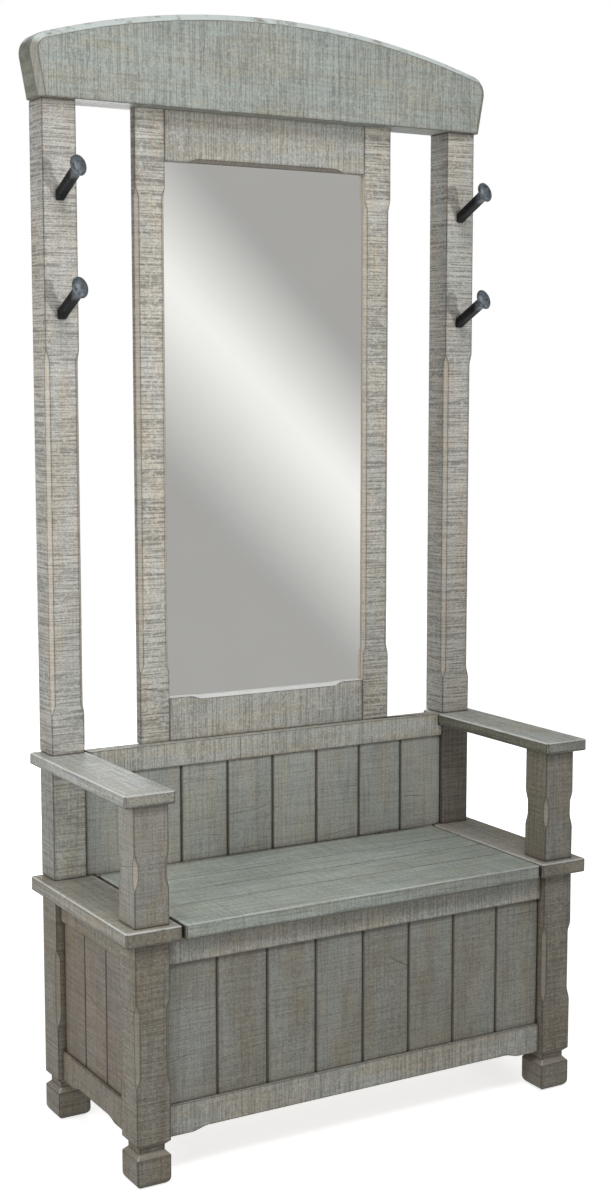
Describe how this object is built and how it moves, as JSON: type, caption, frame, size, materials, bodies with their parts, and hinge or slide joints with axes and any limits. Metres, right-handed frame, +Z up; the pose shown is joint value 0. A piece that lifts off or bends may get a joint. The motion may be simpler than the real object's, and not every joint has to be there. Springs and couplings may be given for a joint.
{
  "type": "hall tree",
  "caption": "Hall tree with a lidded storage bench, arms, a tall framed mirror between two posts, an arched crest and coat hooks on the posts.",
  "frame": {"origin": "on the floor, under the middle of the piece's outer box", "axes": "+X across to the sitter's right as seen from the front, +Y from the front towards the wall, +Z up"},
  "size_m": [1.029, 0.447, 2.16],
  "materials": {
    "painted_wood": "worn grey-green paint over sawn wood, satin",
    "bare_wood": "bare, unfinished",
    "backing_board": "pressed board, matt",
    "mirror_glass": "polished",
    "hook_iron": "forged and waxed",
    "hinge_metal": "dark bronze, satin",
    "screw_steel": "dull"
  },
  "bodies": {
    "frame": {"crest_rail": "painted_wood", "left_upper_post": "painted_wood", "right_upper_post": "painted_wood", "left_mid_post": "painted_wood", "right_mid_post": "painted_wood", "left_arm": "painted_wood", "right_arm": "painted_wood", "left_arm_post": "painted_wood", "right_arm_post": "painted_wood", "left_seat_side": "painted_wood", "right_seat_side": "painted_wood", "front_left_leg": "painted_wood", "front_right_leg": "painted_wood", "rear_left_leg": "painted_wood", "rear_right_leg": "painted_wood", "front_top_rail": "painted_wood", "front_bottom_rail": "painted_wood", "front_boards": "painted_wood", "left_side_top_rail": "painted_wood", "left_side_bottom_rail": "painted_wood", "left_side_boards": "painted_wood", "right_side_top_rail": "painted_wood", "right_side_bottom_rail": "painted_wood", "right_side_boards": "painted_wood", "hinge_rail": "painted_wood", "rear_bottom_rail": "painted_wood", "seat_back_rail": "painted_wood", "seat_back_boards": "painted_wood", "mirror_left_stile": "painted_wood", "mirror_right_stile": "painted_wood", "mirror_top_rail": "painted_wood", "mirror_bottom_rail": "painted_wood", "rear_panel": "bare_wood", "chest_floor": "bare_wood", "floor_cleats": "bare_wood", "post_dowels": "bare_wood", "mirror_dowels": "bare_wood", "mirror_backing": "backing_board", "mirror_glass": "mirror_glass", "hook_upper_left": "hook_iron", "hook_lower_left": "hook_iron", "hook_upper_right": "hook_iron", "hook_lower_right": "hook_iron", "hinge_frame_leaves": "hinge_metal", "hinge_pins": "hinge_metal", "mirror_clips": "hinge_metal", "hinge_frame_screws": "screw_steel", "mirror_clip_screws": "screw_steel"},
    "lid": {"lid_planks": "painted_wood", "lid_battens": "bare_wood", "hinge_lid_leaves": "hinge_metal", "hinge_lid_screws": "screw_steel"}
  },
  "joints": [
    {"name": "lid_hinge", "type": "hinge", "parent": "frame", "child": "lid", "pos_m": [0, 0.161, 0.4845], "axis": [-1, 0, 0], "range_deg": [0, 88]}
  ]
}
